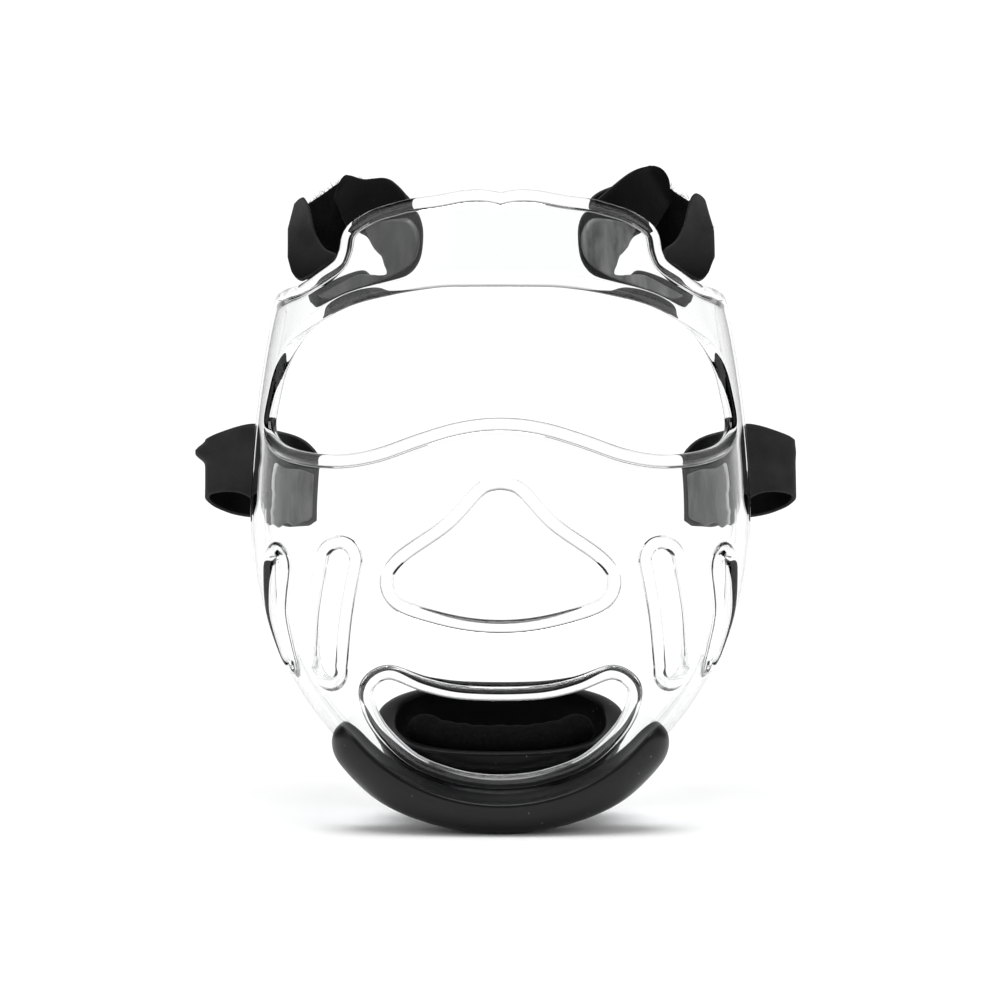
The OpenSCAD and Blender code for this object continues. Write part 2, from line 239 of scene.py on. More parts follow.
def opening_loops():
    """Every opening's outline on the disc, and the shell's edge last."""
    flat = [both_halves(line) for line in (EYE_LINE, NOSE_LINE, MOUTH_LINE)]
    for centres in SLOTS:
        one = smooth_curve(slot_line(centres), 4, closed=True)
        flat += [one, one[::-1] * [-1, 1]]
    loops = [disc(*polar(line)) for line in flat]
    brow = np.stack(polar(np.array(BROW_LINE) * MM), axis=1)
    corner = np.array(BROW_CORNER) * [math.pi / 180, 1]
    rim = np.array([[math.radians(a), 1] for a in range(20, -91, -10)])
    right = smooth_curve(np.vstack([brow, corner, rim]), 16)
    left = right[-2:0:-1] * [-1, 1] + [-math.pi, 0]
    edge = np.vstack([right, left])
    loops.append(disc(edge[:, 0], edge[:, 1]))
    return loops


# ---- Mesh helpers ----

def new_mesh(name, points, faces):
    mesh = bpy.data.meshes.new(name)
    mesh.from_pydata([tuple(p) for p in points], [], [tuple(int(i) for i in f) for f in faces])
    mesh.validate()
    mesh.update()
    mesh.shade_smooth()
    obj = bpy.data.objects.new(name, mesh)
    bpy.context.scene.collection.objects.link(obj)
    return obj


def face_outwards(obj):
    bm = bmesh.new()
    bm.from_mesh(obj.data)
    bmesh.ops.recalc_face_normals(bm, faces=bm.faces)
    bm.to_mesh(obj.data)
    bm.free()


def inside(points, loop):
    """Which of the flat points lie inside the flat loop."""
    x, y = points[:, 0][:, None], points[:, 1][:, None]
    a, b = loop, np.roll(loop, -1, axis=0)
    crosses = (a[:, 1] > y) != (b[:, 1] > y)
    with np.errstate(divide="ignore", invalid="ignore"):
        at = a[:, 0] + (y - a[:, 1]) * (b[:, 0] - a[:, 0]) / (b[:, 1] - a[:, 1])
    return ((crosses & (x < at)).sum(1) % 2) == 1


def in_wall(points, loops):
    """Which of the disc places lie inside the last loop and in none of the others."""
    keep = inside(points, loops[-1])
    for loop in loops[:-1]:
        keep &= ~inside(points, loop)
    return keep


# ---- The clear shell ----

LOOP_STEP = 1.5 * MM       # between two sections of a bead
SHEET_STEP = 0.017         # between two points of the wall, on the disc
FILLET = 1.8 * MM          # radius where a bead meets the wall
BEAD_REACH = 4.6 * MM      # from the middle of a bead to where its section ends


def bead_section():
    """Half of a bead's section, from the wall's outer face round to the middle of its open side,
    as [distance into the wall, height over its middle]."""
    half = WALL / 2
    foot = math.sqrt((BEAD + FILLET) ** 2 - (half + FILLET) ** 2)
    meets = math.atan2(half + FILLET, foot)
    points = [[foot - FILLET * math.sin(a), half + FILLET * (1 - math.cos(a))]
              for a in np.linspace(0, math.pi / 2 - meets, 4)[:-1]]
    points += [[BEAD * math.cos(a), BEAD * math.sin(a)] for a in np.linspace(meets, math.pi, 9)]
    return np.array(points)


def build_shell():
    half_section = bead_section()
    section = np.vstack([half_section, half_section[-2::-1] * [1, -1]])
    loops, rings = [], []
    outlines = opening_loops()
    for k, outline in enumerate(outlines):
        at, along = evenly(surface(outline), LOOP_STEP)
        closed = np.vstack([outline, outline[:1]])
        uv = np.stack([np.interp(at, along, closed[:, i]) for i in range(2)], axis=1)
        p, n = surface(uv), surface_normal(uv)
        tangent = unit(np.roll(p, -1, axis=0) - np.roll(p, 1, axis=0))
        across = unit(np.cross(n, tangent))
        probe = stepped(uv[:1], across[:1] * MM)
        within = inside(probe, uv)[0]
        if within != (k == len(outlines) - 1):
            across = -across
        uv_end = stepped(uv, across * BEAD_REACH)
        p_end, n_end = surface(uv_end), surface_normal(uv_end)
        bow = (p_end - p - across * BEAD_REACH) / BEAD_REACH ** 2
        ring = []
        for a, h in section:
            w = max(a, 0) / BEAD_REACH
            up = unit(mix(n, n_end, w))
            ring.append(p + across * a + up * h + bow * max(a, 0) ** 2)
        loops.append(uv_end)
        rings.append(np.stack(ring, axis=1))
    # The wall between the beads, as flat triangles on the disc
    steps = np.arange(-1, 1, SHEET_STEP)
    grid = np.array([[u + (SHEET_STEP / 2 if i % 2 else 0), v]
                     for i, v in enumerate(steps) for u in steps])
    border = np.vstack(loops)
    grid = grid[in_wall(grid, loops)]
    near = np.array([((border - g) ** 2).sum(1).min() for g in grid]) > (SHEET_STEP * 0.5) ** 2
    flat = np.vstack([border, grid[near]])
    edges, first = [], 0
    for loop in loops:
        n = len(loop)
        edges += [(first + i, first + (i + 1) % n) for i in range(n)]
        first += n
    verts, _, faces, origin, _, _ = delaunay_2d_cdt([Vector(p) for p in flat], edges, [], 0, 1e-9, True)
    verts = np.array([tuple(v) for v in verts])
    place = {}
    for new, old in enumerate(origin):
        for o in old:
            place[o] = new
    faces = np.array([f for f in faces if len(f) == 3])
    faces = faces[in_wall(verts[faces].mean(1), loops)]
    p, n = surface(verts), surface_normal(verts)
    turned = np.cross(p[faces[:, 1]] - p[faces[:, 0]], p[faces[:, 2]] - p[faces[:, 0]])
    flip = (turned * n[faces[:, 0]]).sum(1) < 0
    faces[flip] = faces[flip][:, ::-1]
    count = len(verts)
    points = [p + n * WALL / 2, p - n * WALL / 2]
    polygons = [tuple(f) for f in faces] + [tuple(f[::-1] + count) for f in faces]
    base, first = 2 * count, 0
    for loop, ring in zip(loops, rings):
        m, rows = ring.shape[0], ring.shape[1]
        points.append(ring.reshape(-1, 3))
        for i in range(m):
            j = (i + 1) % m
            column, beyond = [[place[first + k]] + [base + k * rows + r for r in range(rows)]
                              + [place[first + k] + count] for k in (i, j)]
            polygons += [(column[r], beyond[r], beyond[r + 1], column[r + 1]) for r in range(rows + 1)]
        base += m * rows
        first += m
    obj = new_mesh("clear_shell", np.vstack(points), polygons)
    face_outwards(obj)
    return obj


# ---- Materials ----

def material(name):
    mat = bpy.data.materials.new(name)
    mat.use_nodes = True
    tree = mat.node_tree
    return mat, tree, tree.nodes["Principled BSDF"]


def clear_plastic():
    mat, tree, shader = material("clear_plastic")
    shader.inputs["Base Color"].default_value = (0.985, 0.99, 0.992, 1)
    shader.inputs["Roughness"].default_value = 0.0
    shader.inputs["IOR"].default_value = 1.52
    shader.inputs["Transmission Weight"].default_value = 1.0
    path = tree.nodes.new("ShaderNodeLightPath")
    through = tree.nodes.new("ShaderNodeBsdfTransparent")
    through.inputs["Color"].default_value = (0.93, 0.94, 0.945, 1)
    joined = tree.nodes.new("ShaderNodeMixShader")
    tree.links.new(path.outputs["Is Shadow Ray"], joined.inputs[0])
    tree.links.new(shader.outputs[0], joined.inputs[1])
    tree.links.new(through.outputs[0], joined.inputs[2])
    tree.links.new(joined.outputs[0], tree.nodes["Material Output"].inputs["Surface"])
    return mat


shell = build_shell()
shell.data.materials.append(clear_plastic())
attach(shell, "shield")
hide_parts("face_shell")


def combine(tree, operation, one, other):
    """A node of arithmetic; each of its two values is a number or another node's output."""
    node = tree.nodes.new("ShaderNodeMath")
    node.operation = operation
    for socket, value in zip(node.inputs, (one, other)):
        if isinstance(value, (int, float)):
            socket.default_value = value
        else:
            tree.links.new(value, socket)
    return node.outputs[0]


def texture(tree, kind, coords, **values):
    """A texture node of this kind at these coordinates, with its inputs set to the values."""
    node = tree.nodes.new("ShaderNodeTex" + kind)
    for name, value in values.items():
        node.inputs[name].default_value = value
    tree.links.new(coords, node.inputs["Vector"])
    return node


def relief(tree, shader, height, strength, depth):
    """Bumps on a shader's surface, with their depth in metres."""
    bump = tree.nodes.new("ShaderNodeBump")
    bump.inputs["Strength"].default_value = strength
    bump.inputs["Distance"].default_value = depth
    tree.links.new(height, bump.inputs["Height"])
    tree.links.new(bump.outputs["Normal"], shader.inputs["Normal"])


def bumpy(tree, shader, scale, depth, strength):
    """Fine relief from noise, sized in the object's own metres; returns its coordinates and noise."""
    coords = tree.nodes.new("ShaderNodeTexCoord").outputs["Object"]
    noise = texture(tree, "Noise", coords, Scale=scale, Detail=4).outputs["Fac"]
    relief(tree, shader, noise, strength, depth)
    return coords, noise


def ranged(tree, source, low, high, from_low=0.3, from_high=0.7):
    """The source brought from one range into another and kept within it."""
    node = tree.nodes.new("ShaderNodeMapRange")
    node.inputs["From Min"].default_value = from_low
    node.inputs["From Max"].default_value = from_high
    node.inputs["To Min"].default_value = low
    node.inputs["To Max"].default_value = high
    tree.links.new(source, node.inputs["Value"])
    return node.outputs["Result"]


def two_tone(tree, source, dark, light, low=0.35, high=0.65):
    """One colour where the source is low, the other where it is high, and a blend between."""
    node = tree.nodes.new("ShaderNodeValToRGB")
    node.color_ramp.elements[0].position = low
    node.color_ramp.elements[1].position = high
    node.color_ramp.elements[0].color = (*dark, 1)
    node.color_ramp.elements[1].color = (*light, 1)
    tree.links.new(source, node.inputs["Fac"])
    return node.outputs["Color"]


def dipped_foam(name, gloss):
    """Foam with a thin vinyl skin: satin black with faint cloudy gloss and a few pale specks of dust."""
    mat, tree, shader = material(name)
    coords, _ = bumpy(tree, shader, 1500, 0.00012, 0.35)
    clouds = texture(tree, "Noise", coords, Scale=60, Detail=3)
    tree.links.new(ranged(tree, clouds.outputs["Fac"], 0.3, 0.42), shader.inputs["Roughness"])
    specks = texture(tree, "Voronoi", coords, Scale=190)
    tree.links.new(two_tone(tree, specks.outputs["Distance"], (0.16, 0.16, 0.16), (0.0035, 0.0035, 0.0038),
                            0.035, 0.06), shader.inputs["Base Color"])
    shader.inputs["Specular IOR Level"].default_value = gloss
    shader.inputs["Coat Weight"].default_value = gloss * 0.6
    shader.inputs["Coat Roughness"].default_value = 0.16
    return mat


def soft_foam():
    """Open foam in a brushed knit cover: deep black and matt."""
    mat, tree, shader = material("soft_foam")
    _, grain = bumpy(tree, shader, 900, 0.0003, 0.5)
    tree.links.new(two_tone(tree, grain, (0.0015, 0.0015, 0.0015), (0.004, 0.004, 0.004)),
                   shader.inputs["Base Color"])
    shader.inputs["Roughness"].default_value = 0.8
    shader.inputs["Specular IOR Level"].default_value = 0.06
    return mat


def strap_tape(name, tone, gloss, painted_shade_heights=None):
    """Hook-and-loop tape: a close knit with a soft charcoal bloom. Between the two heights given last it
    turns from black to the full tone: painted shade, dark at the bottom and lighter at the top."""
    mat, tree, shader = material(name)
    coords = tree.nodes.new("ShaderNodeTexCoord").outputs["Object"]
    knit = texture(tree, "Voronoi", coords, Scale=1300, Randomness=0.6)
    fuzz = texture(tree, "Noise", coords, Scale=2600, Detail=3)
    wear = texture(tree, "Noise", coords, Scale=70, Detail=5)
    relief(tree, shader, combine(tree, "ADD", knit.outputs["Distance"], fuzz.outputs["Fac"]), 0.45, 0.0002)
    low, high = tone
    bloom = two_tone(tree, wear.outputs["Fac"], (low, low, low), (high, high, high))
    # Painted shade: black at the lower height, the full tone at the upper one
    if painted_shade_heights:
        split = tree.nodes.new("ShaderNodeSeparateXYZ")
        shade = tree.nodes.new("ShaderNodeMix")
        shade.data_type = "RGBA"
        tree.links.new(coords, split.inputs[0])
        tree.links.new(ranged(tree, split.outputs["Z"], 0, 1, *painted_shade_heights), shade.inputs["Factor"])
        shade.inputs["A"].default_value = (0.002, 0.002, 0.002, 1)
        tree.links.new(bloom, shade.inputs["B"])
        bloom = shade.outputs["Result"]
    tree.links.new(bloom, shader.inputs["Base Color"])
    tree.links.new(ranged(tree, wear.outputs["Fac"], 0.55, 0.75), shader.inputs["Roughness"])
    shader.inputs["Specular IOR Level"].default_value = gloss
    shader.inputs["Sheen Weight"].default_value = 0.01
    shader.inputs["Sheen Roughness"].default_value = 0.5
    return mat


def adhesive(name, dark, light):
    """The glue that wets the inside of the shell: cloudy, darker where it is thin."""
    mat, tree, shader = material(name)
    coords, _ = bumpy(tree, shader, 400, 0.0002, 0.3)
    stretch = tree.nodes.new("ShaderNodeMapping")
    stretch.inputs["Scale"].default_value = (2.2, 1, 0.45)
    tree.links.new(coords, stretch.inputs["Vector"])
    patches = texture(tree, "Noise", stretch.outputs["Vector"], Scale=75, Detail=6, Roughness=0.6)
    tree.links.new(two_tone(tree, patches.outputs["Fac"], dark, light), shader.inputs["Base Color"])
    tree.links.new(ranged(tree, patches.outputs["Fac"], 0.3, 0.55), shader.inputs["Roughness"])
    return mat


# ---- Grids and slabs ----

def strip(one, other, columns, count=8):
    """A flat grid between two lines of [x, z] in millimetres with the same number of points."""
    a, b = smooth_curve(one, count) * MM, smooth_curve(other, count) * MM
    w = np.linspace(0, 1, columns)[None, :, None]
    return a[:, None] * (1 - w) + b[:, None] * w


def on_shell(flat, off):
    """The grid of [x, z] laid on the shell at an offset from the middle of its wall."""
    shape = flat.shape[:-1]
    angle, t = polar(flat.reshape(-1, 2))
    return skin(angle, t, off).reshape(*shape, 3)


def grid_normals(grid):
    """The direction square to a grid at each of its points."""
    down = np.gradient(grid, axis=0)
    over = np.gradient(grid, axis=1)
    return unit(np.cross(down, over))


def uneven(grid, height, seed, step=9 * MM):
    """Small waves over a grid, the same in every run."""
    rng = np.random.default_rng(seed)
    waves = rng.normal(size=(6, 3)) / step
    phases = rng.uniform(0, 2 * math.pi, 6)
    lift = sum(np.sin(grid @ w + f) for w, f in zip(waves, phases)) / 6
    return grid + grid_normals(grid) * (lift * height)[..., None]


def slab_parts(grid, thick):
    """Points and faces of a slab round a grid, with rounded edges."""
    n, m = grid.shape[:2]
    normal = grid_normals(grid)
    half = thick / 2
    border = ([(i, 0) for i in range(n - 1)] + [(n - 1, j) for j in range(m - 1)]
              + [(i, m - 1) for i in range(n - 1, 0, -1)] + [(0, j) for j in range(m - 1, 0, -1)])
    rim = []
    for i, j in border:
        inner = grid[min(max(i, 1), n - 2), min(max(j, 1), m - 2)]
        rim.append(grid[i, j] + unit(grid[i, j] - inner) * half * 0.85)
    points = np.vstack([(grid + normal * half).reshape(-1, 3), (grid - normal * half).reshape(-1, 3), rim])
    size = n * m
    faces = []
    for i in range(n - 1):
        for j in range(m - 1):
            a, b, c, d = i * m + j, i * m + j + 1, (i + 1) * m + j + 1, (i + 1) * m + j
            faces += [(a, d, c, b), (a + size, b + size, c + size, d + size)]
    count = len(border)
    for k, (i, j) in enumerate(border):
        p, q = border[(k + 1) % count]
        a, b, r, s = i * m + j, p * m + q, 2 * size + k, 2 * size + (k + 1) % count
        faces += [(a, b, s, r), (r, s, b + size, a + size)]
    return points, faces


def slab(name, grid, thick, side=1, faces=None):
    """A slab round a grid drawn on the wearer's left; side -1 mirrors it. The faces may differ: they are
    the materials of its inner side, its outer side and its cut edge."""
    points, polygons = slab_parts(grid, thick)
    obj = new_mesh(name, points * [side, 1, 1], polygons)
    if faces:
        for mat in faces:
            obj.data.materials.append(mat)
        count = 2 * (grid.shape[0] - 1) * (grid.shape[1] - 1)
        for k, polygon in enumerate(obj.data.polygons):
            polygon.material_index = k % 2 if k < count else 2
    face_outwards(obj)
    return obj


def finish(obj, mat, slot, *nodes, body="shield"):
    """Gives a piece its material and the body it rides on, and hides the nodes it replaces. The slot is not
    used.
    """
    if mat:
        obj.data.materials.append(mat)
    if body:
        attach(obj, body)
    if nodes:
        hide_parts(*nodes)
    return obj


# ---- Foam ----

def ring_faces(rings):
    """The faces between each ring of points and the next."""
    m = len(rings[0])
    return [(i * m + j, i * m + (j + 1) % m, (i + 1) * m + (j + 1) % m, (i + 1) * m + j)
            for i in range(len(rings) - 1) for j in range(m)]


def closed_rings(name, rings):
    """A closed piece through the rings, with a point in the middle of each end."""
    m = len(rings[0])
    last, tip = (len(rings) - 1) * m, len(rings) * m
    points = np.vstack(rings + [rings[0].mean(0)[None], rings[-1].mean(0)[None]])
    faces = ring_faces(rings)
    faces += [((j + 1) % m, j, tip) for j in range(m)]
    faces += [(last + j, last + (j + 1) % m, tip + 1) for j in range(m)]
    obj = new_mesh(name, points, faces)
    face_outwards(obj)
    return obj


BUMPER_SPAN = 42.5            # degrees to each side of the chin
BUMPER_BASE = 2.2 * MM
# The bumper's section, as [how far from its top to its bottom, thickness in millimetres]
BUMPER_SECTION = [[0.0, 0], [-0.06, 3], [-0.13, 6.4], [-0.19, 9.2], [-0.17, 10.8], [-0.05, 12.2],
                  [0.2, 13.6], [0.45, 13.6], [0.68, 11.8], [0.86, 8], [0.96, 3.8], [1.0, 0]]


def build_bumper():
    front = smooth_curve(BUMPER_SECTION, 3)
    back = np.array([[w, 0] for w in np.linspace(1, 0, 12)[1:-1]])
    section = np.vstack([front, back])
    turns = np.sin(np.linspace(-math.pi / 2, math.pi / 2, 97))
    rings = []
    for u in turns[1:-1]:
        end = max(0, (abs(u) - 0.86) / 0.14)
        shrink = math.sqrt(1 - end ** 2)
        w = 0.4 + (section[:, 0] - 0.4) * shrink
        thick = section[:, 1] * MM * (1 - 0.3 * abs(u) ** 2) * shrink ** 0.7
        reach = mix(0.6 - 0.025 * u ** 4, 0.79 - 0.08 * u ** 2, w)
        angle = np.full(len(w), math.radians(-90 + BUMPER_SPAN * u))
        p = skin(angle, reach, BUMPER_BASE + thick)
        floor_level = 4.4 * MM * (p[:, 0] / (30 * MM)) ** 2
        low = floor_level - p[:, 2]
        p[:, 2] += np.where(low > -2 * MM, (low + 2 * MM) ** 2 / (8 * MM), 0) * (low <= 2 * MM)
        p[:, 2] = np.where(low > 2 * MM, floor_level, p[:, 2])
        rings.append(p)
    return closed_rings("chin_bumper_foam", rings)


# The cup's rings from its rim down, as [half width, front, back, level in front, level behind]
CUP_RINGS = [[47, 5.5, 67, 29, 49], [46, 7.5, 69, 22, 41], [42, 13.5, 69, 17, 30],
             [34, 24, 67, 13, 20], [22, 35, 63, 10, 11.5], [8, 46, 54, 9, 9]]
CUP_LIFTS = [0, 0.3, 0.5, 0.75, 1, 1]    # how far the inside of each stands above it, in wall thicknesses
CUP_WALL = 7


def cup_point(ring, turn, inset, lift):
    """A point of one of the cup's rings, in metres; turn is 0 at the wearer's left and goes round."""
    cos, sin = np.cos(turn), np.sin(turn)
    reach = (np.abs(cos) ** 2.5 + np.abs(sin) ** 2.5) ** -0.4
    width, front, back, low, high = ring
    middle, half = (front + back) / 2, (back - front) / 2
    level = mix(low, high, 0.5 + 0.5 * reach * sin) + lift
    return np.stack([(width - inset) * reach * cos * MM,
                     APEX_BACK + (middle + (half - inset) * reach * sin) * MM, level * MM], axis=-1)


def build_cup():
    turns = np.linspace(0, 2 * math.pi, 121)[:-1]
    outer = smooth_curve(CUP_RINGS, 6)
    lifts = smooth_curve([[v, 0] for v in CUP_LIFTS], 6)[:, 0] * CUP_WALL
    insets = np.full(len(outer), float(CUP_WALL))
    insets[-6:] = np.linspace(CUP_WALL, CUP_WALL * 0.4, 6)
    rings = [cup_point(r, turns, 0, 0) for r in outer[::-1]]
    for inset, lift in ((0.14, 0.7), (0.5, 1.0), (0.86, 0.7)):
        rings.append(cup_point(outer[0], turns, CUP_WALL * inset, lift))
    rings += [cup_point(r, turns, i, v) for r, i, v in zip(outer, insets, lifts)]
    return closed_rings("chin_cup_foam", rings)


ROLL = 6.5    # the roll's radius in millimetres


def build_roll():
    """The roll along the front of the cup, a soft tube with closed round ends."""
    turns = np.radians(np.linspace(340, 200, 71))
    path = cup_point(CUP_RINGS[0], turns, CUP_WALL + ROLL + 0.6, 3)
    along = unit(np.gradient(path, axis=0))
    side = unit(np.cross(along, [0, 0, 1]))
    up = np.cross(side, along)
    run = np.concatenate([[0], np.cumsum(np.linalg.norm(np.diff(path, axis=0), axis=1))])
    left = np.minimum(run, run[-1] - run) / (ROLL * MM)
    radius = ROLL * MM * np.sqrt(1 - np.clip(1 - left, 0, 0.999) ** 2)
    around = np.linspace(0, 2 * math.pi, 29)[:-1]
    rings = []
    for i in range(len(path)):
        puff = 1 + 0.025 * math.sin(run[i] / MM * 0.9) + 0.02 * math.sin(run[i] / MM * 0.37 + 1)
        circle = np.cos(around)[:, None] * side[i] + np.sin(around)[:, None] * up[i]
        rings.append(path[i] + radius[i] * puff * circle)
    m = len(around)
    faces = ring_faces(rings)
    faces += [tuple(range(m))[::-1], tuple((len(rings) - 1) * m + j for j in range(m))]
    obj = new_mesh("chin_roll_foam", np.vstack(rings), faces)
    face_outwards(obj)
    return obj


# ---- Straps, drawn on the wearer's left and mirrored ----

# The bonded brow strap goes round the notch in the shell: its outer and inner outlines as [x, z]
PETAL_OUT = [[67.8, 240], [66, 245.6], [62.6, 248.8], [55.4, 246.8], [46.4, 246.8], [41, 243.6], [35.4, 237],
             [31.6, 230], [30.6, 223], [32.2, 214], [38, 208], [48.5, 203.2], [57, 199.6], [66, 196.6],
             [72, 197.2], [75, 199]]
PETAL_IN = [[59.8, 226], [57.6, 227.6], [55.4, 226], [52.4, 224.4], [49.6, 220.4], [47.4, 218.2], [45, 216.2],
            [44.4, 213.4], [43.4, 210.6], [42.4, 208.6], [43.6, 207.9], [49.4, 207.9], [54, 210.4],
            [62, 208.4], [70, 204.6], [76, 201.4]]
# The glue under it
GLUE_OUT = [[52, 227.2], [46, 228.8], [40, 229.6], [34.8, 229.2], [31.6, 224.6], [31.4, 219], [33.8, 213.4],
            [40, 209], [49.4, 205.4], [57, 202.4], [64, 200], [68.6, 200]]
GLUE_IN = [[51.6, 225.4], [49.6, 221.6], [48.4, 219.4], [46.2, 217.4], [45, 215.6], [44, 212.6], [43, 210],
           [44, 208.4], [49.6, 208.2], [55.4, 208], [63, 204.2], [69.8, 200.6]]
# The fold of the brow strap: its lowest and highest at each point, from its own level
BROW_LOW = [-10, -3, 2.5, 4, 3, -20, -20, -19, -12]
BROW_HIGH = [9, 12, 15, 17.6, 19.8, 19.4, 13.8, 9.6, 9.8]
# Its free end seen from above, as [x, distance behind the nose, lowest, highest]
BROW_TAILS = {"right": [[81.4, 68, -12, 10.6], [79.6, 65.4, -18, 12.4], [76.4, 62.2, -20.6, 8.8],
                        [73.4, 59.2, -19.4, 2.4], [70.4, 56.8, -17.4, -4], [67, 54, -14.8, -9],
                        [62.6, 50.4, -12.4, -11]],
              "left": [[81.4, 68, -12, 12], [79.4, 65.4, -18, 14], [76.4, 62.2, -20.6, 12],
                       [73.4, 59.2, -19.4, 6.4], [70.4, 56.8, -17.4, 0.4], [67, 54, -14.8, -5.6],
                       [62.6, 50.4, -12.4, -9]]}
BROW_LEVEL = 226
# The temple strap's loop in the same terms, and its free end
TEMPLE_LOOP = [[91, 96, -17, 17.4], [94.6, 98.7, -17, 18], [98.6, 99.6, -11, 18.8], [104, 100.3, -8.4, 17.8],
               [110.4, 102.2, -8.2, 15.6], [115.6, 106.4, -9.6, 13.4], [117, 111.4, -12, 12],
               [114.6, 117, -15, 13.6], [108.6, 121, -18, 15.2]]
TEMPLE_TAIL = [[103, 122, -19.4, 16.4], [98, 120.6, -19.8, 17.4],
               [94, 116.6, -19.4, 17.4], [92.4, 111.4, -18, 16.6], [93.6, 106, -16.4, 15.6]]
TEMPLE_LEVEL = 131
TEMPLE_TABS = {"right": 4.2, "left": 0.3}    # how far the corner of the free end stands out
LEANING = np.array([0, 0.33, 0.944])
TAPE_DEPTH = 3.5              # from the middle of the wall back to the bonded tape, in millimetres
GLUE_DEPTH = 2.45 * MM        # from the middle of the wall back to the middle of the glue
GLUE_THICK = 1.3 * MM


def wall_grid(path, level, rows, count=5, taper=0.0):
    """An upright wall of tape along a path of [x, distance behind the nose, lowest, highest], drawn in
    towards the middle by taper for each millimetre above its level."""
    line = smooth_curve(path, count) * MM
    w = np.linspace(0, 1, rows)
    rise = line[:, 2:3] * (1 - w) + line[:, 3:4] * w
    foot = np.stack([line[:, 0], APEX_BACK + line[:, 1], np.full(len(line), level * MM)], axis=1)
    wall = foot[:, None] + rise[..., None] * LEANING
    wall[..., 0] *= 1 - taper * np.clip(rise, 0, 1) / MM
    return wall


def brow_fold():
    """The brow strap's fold from above: points along a slanted half ellipse."""
    path = []
    for i, (low, high) in enumerate(zip(BROW_LOW, BROW_HIGH)):
        a = math.radians(180 - i * 21.5)
        path.append([58.3 + 23.3 * math.cos(a), 56.4 + 15 * math.cos(a) + 13.5 * math.sin(a), low, high])
    return path


def sine_at(level, t):
    """The sine of the angle at which the shell, at a reach t, is at each of these levels in millimetres."""
    rise = level * MM - APEX_HEIGHT
    s = np.zeros(len(level))
    for _ in range(6):
        s = rise / (half_height(s) * spread(t, s))
    return s


def temple_band():
    """The bonded temple strap: along the inside of the shell and a little past its rim."""
    columns = []
    reaches = np.linspace(0.465, 1, 22)
    for k, t in enumerate(reaches):
        w = k / 21
        low = -17.4 + 0.8 * math.sin(5.5 * w) + 0.5 * math.sin(17 * w) + 3 * math.exp(-w / 0.04)
        high = 17.4 - 8.6 * math.exp(-w / 0.13)
        s = sine_at(TEMPLE_LEVEL + np.linspace(low, high, 11), t)
        off = -(mix(TAPE_DEPTH, 3.1, ramp((t - 0.78) / 0.16)) + TAPE / MM / 2) * MM
        columns.append(skin(np.arcsin(s), np.full(11, t), off))
    rim = columns[-1]
    return np.array(columns + [rim + [0, back * MM, 0] for back in (2.5, 5, 7.5)])


def temple_patch(start, end, count):
    """The glue under the temple strap, between two reaches of the shell."""
    columns = []
    for t in np.linspace(start, end, count):
        w = (t - 0.475) / 0.325
        low = -17 + 0.9 * math.sin(6 * w + 0.5) + 0.7 * math.sin(23 * w) + 2.5 * math.exp(-w / 0.06)
        high = mix(2.2, 6.8, w) + 0.5 * math.sin(11 * w)
        s = sine_at(TEMPLE_LEVEL + np.linspace(low, high, 11), t)
        wander = 0.006 * np.sin(np.linspace(0, 11, 11)) + 0.004 * np.sin(np.linspace(2, 31, 11))
        columns.append(skin(np.arcsin(s), t + wander * ramp((w - 0.3) / 0.2), -GLUE_DEPTH))
    return np.array(columns)


def pile(name, grid, count, length, seed, side):
    """Short curly fibres that stand off one face of a grid of tape."""
    rng = np.random.default_rng(seed)
    normal = grid_normals(grid)
    n, m = grid.shape[:2]
    points, faces = [], []
    for _ in range(count):
        i, j = rng.integers(0, n), min(m - 1, int(m * rng.beta(1.8, 0.9)))
        root, out = grid[i, j] + rng.normal(size=3) * 0.4 * MM, normal[i, j]
        lean = unit(rng.normal(size=3) + [0, 0, 0.8])
        size = length * rng.uniform(0.4, 1.1)
        turn = rng.uniform(0, 2 * math.pi)
        base = len(points)
        beside_it = unit(np.cross(out, lean))
        for k in range(5):
            w = k / 4
            centre = root + out * size * w * (1 - 0.4 * w) + lean * size * 0.7 * w ** 2 \
                + beside_it * 0.5 * MM * math.sin(4 * w + turn)
            thick = 0.11 * MM * (1.1 - w)
            for c in range(3):
                b = turn + c * 2.094    # a third of a turn each
                around = math.cos(b) * beside_it + math.sin(b) * np.cross(beside_it, out)
                points.append(centre + thick * around)
        for k in range(4):
            for c in range(3):
                d = (c + 1) % 3
                faces.append((base + 3 * k + c, base + 3 * k + d, base + 3 * k + 3 + d, base + 3 * k + 3 + c))
        faces += [(base + 2, base + 1, base), (base + 12, base + 13, base + 14)]
    obj = new_mesh(name, np.array(points) * [side, 1, 1], faces)
    face_outwards(obj)
    return obj


foam_skin, foam_cup = dipped_foam("dipped_foam", 0.24), dipped_foam("dipped_foam_cup", 0.1)
foam_soft = soft_foam()
glue = adhesive("adhesive", (0.012, 0.012, 0.012), (0.16, 0.16, 0.158))
brow_glue = {"right": adhesive("adhesive_dark", (0.008, 0.008, 0.0075), (0.06, 0.06, 0.058)),
             "left": adhesive("adhesive_pale", (0.04, 0.04, 0.039), (0.21, 0.21, 0.208))}
dried_glue = adhesive("dried_adhesive", (0.6, 0.6, 0.59), (0.85, 0.85, 0.84))
tape_back = strap_tape("strap_tape", (0.002, 0.004), 0.06)
tape_edge = strap_tape("tape_cut_edge", (0.012, 0.026), 0.15)
tape_face = strap_tape("tape_outer_face", (0.012, 0.024), 0.2)
# The tail's outer face gets painted shade: black at 207 mm, its full tone from 243 mm up
tape_tail = strap_tape("tape_tail_face_painted_shade", (0.03, 0.055), 0.1, (207 * MM, 243 * MM))
tape_pile = strap_tape("tape_pile", (0.002, 0.006), 0.05)

bumper = finish(build_bumper(), foam_skin, "dipped_foam", "chin_bumper")
cup = finish(build_cup(), foam_cup, "dipped_foam", "chin_cup")
roll = finish(build_roll(), foam_soft, "soft_foam", "chin_roll")


